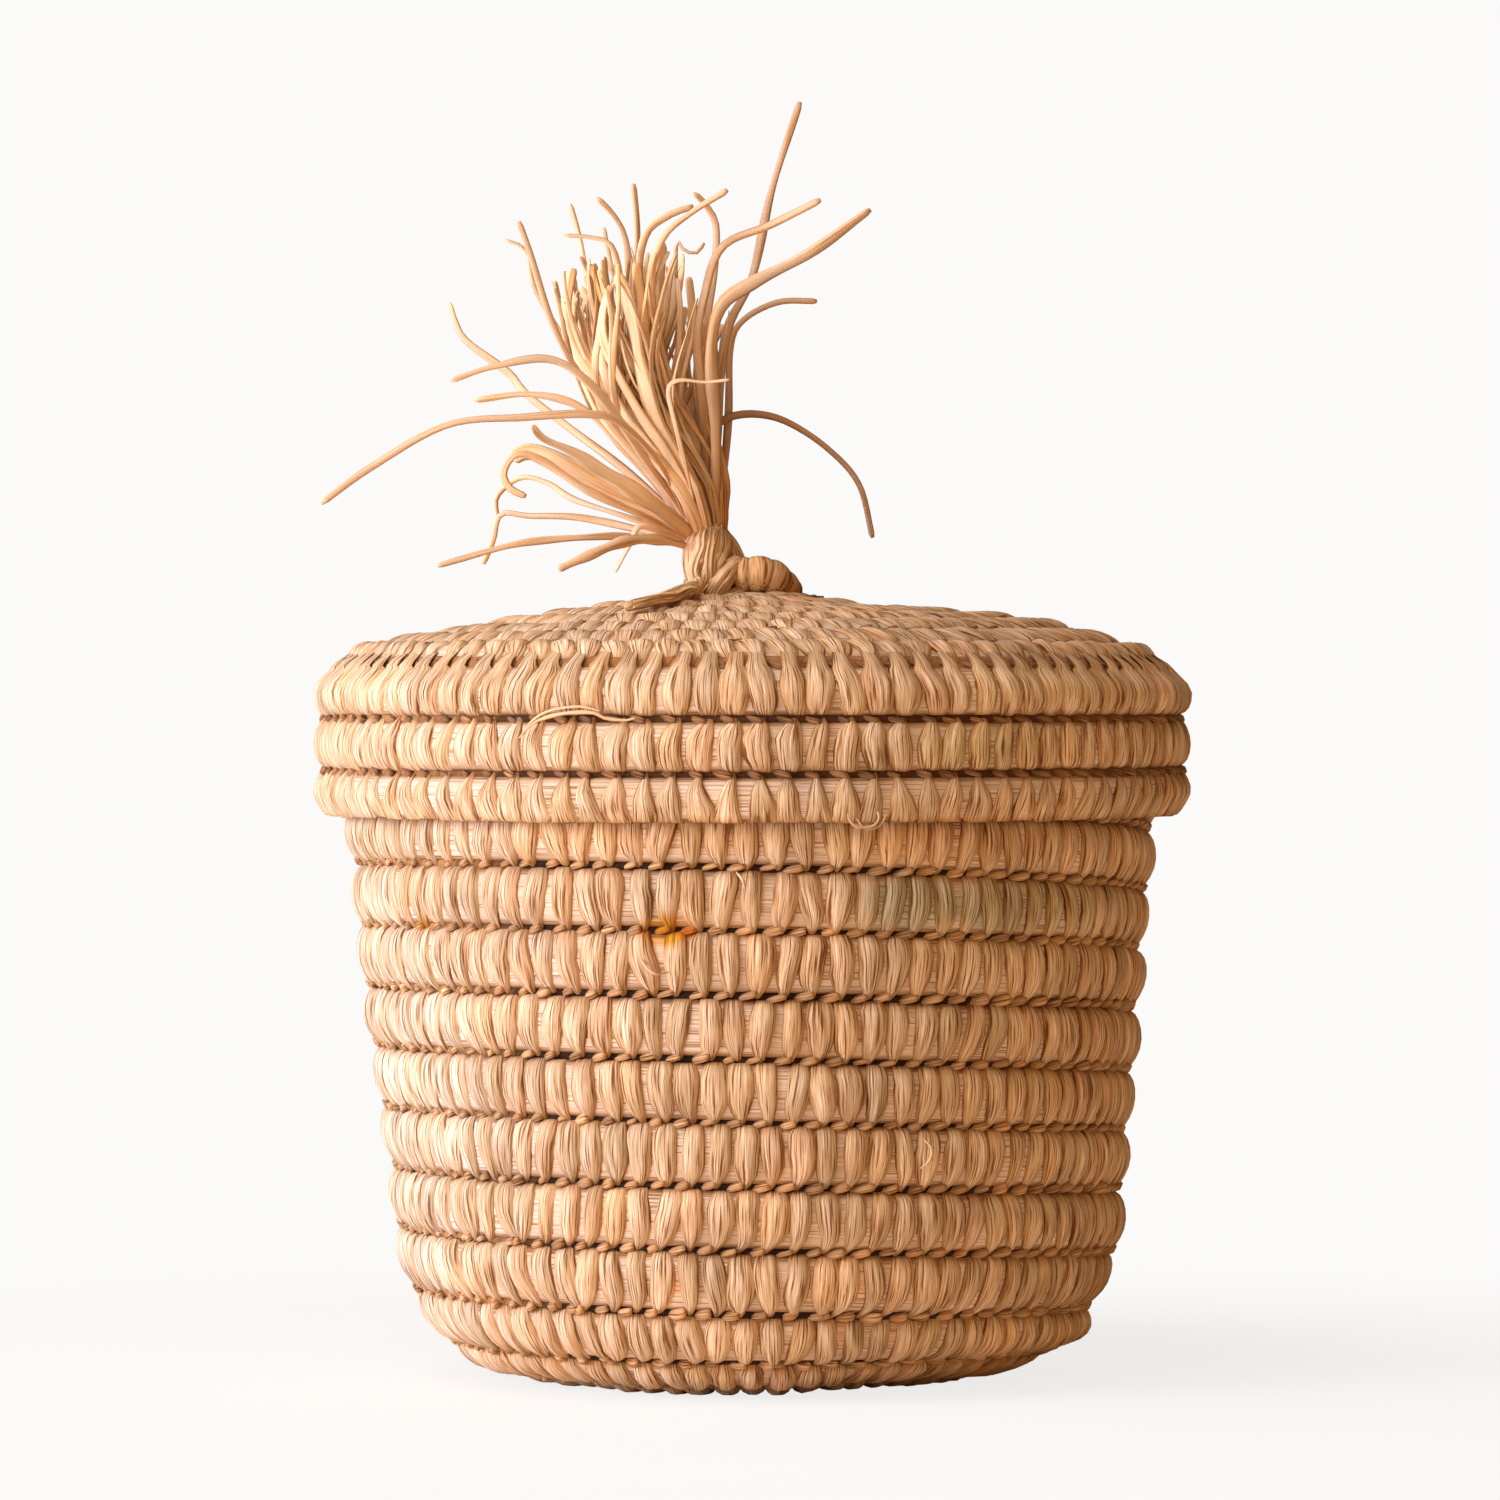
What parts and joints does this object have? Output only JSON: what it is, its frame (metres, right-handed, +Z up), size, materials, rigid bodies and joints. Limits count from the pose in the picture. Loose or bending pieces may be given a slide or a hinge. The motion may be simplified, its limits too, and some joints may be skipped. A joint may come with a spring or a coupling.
{
  "type": "lidded basket",
  "caption": "Lidded coiled raffia basket: a gently tapering sewn vessel and a slip-on lid with a shallow cone, a knotted neck and a loose raffia tassel.",
  "frame": {"origin": "centre of the base, on the ground", "axes": "+Z up along the basket's axis; the front, as pictured, looks along -Y"},
  "size_m": [0.2196, 0.2194, 0.3195],
  "materials": {
    "vessel_raffia": "matt sewn raffia over a fibre bundle",
    "lid_raffia": "matt sewn raffia over a fibre bundle",
    "knot_raffia": "satin twisted raffia",
    "loose_raffia": "satin loose raffia strips"
  },
  "bodies": {
    "vessel": {"vessel_coil": "vessel_raffia"},
    "lid": {"lid_coil": "lid_raffia", "collar_coil": "knot_raffia", "tassel_stem": "knot_raffia", "knot_wrap": "knot_raffia", "tassel_tuft": "loose_raffia", "strand_drooping_right": "loose_raffia", "strand_tall_upright": "loose_raffia", "strand_upper_right": "loose_raffia", "strand_fork_top": "loose_raffia", "strand_back": "loose_raffia", "strand_back_left": "loose_raffia", "strand_upper_left": "loose_raffia", "strand_level_left": "loose_raffia", "strand_long_left": "loose_raffia", "strand_low_left": "loose_raffia", "strand_rising_left": "loose_raffia", "strand_low_front": "loose_raffia", "strand_front_left": "loose_raffia", "strand_front_right": "loose_raffia", "strand_side_right": "loose_raffia", "strand_thick_right": "loose_raffia"}
  },
  "joints": [
    {"name": "lid_lift", "type": "slide", "parent": "vessel", "child": "lid", "axis": [0, 0, 1], "range_m": [0, 0.14]}
  ]
}
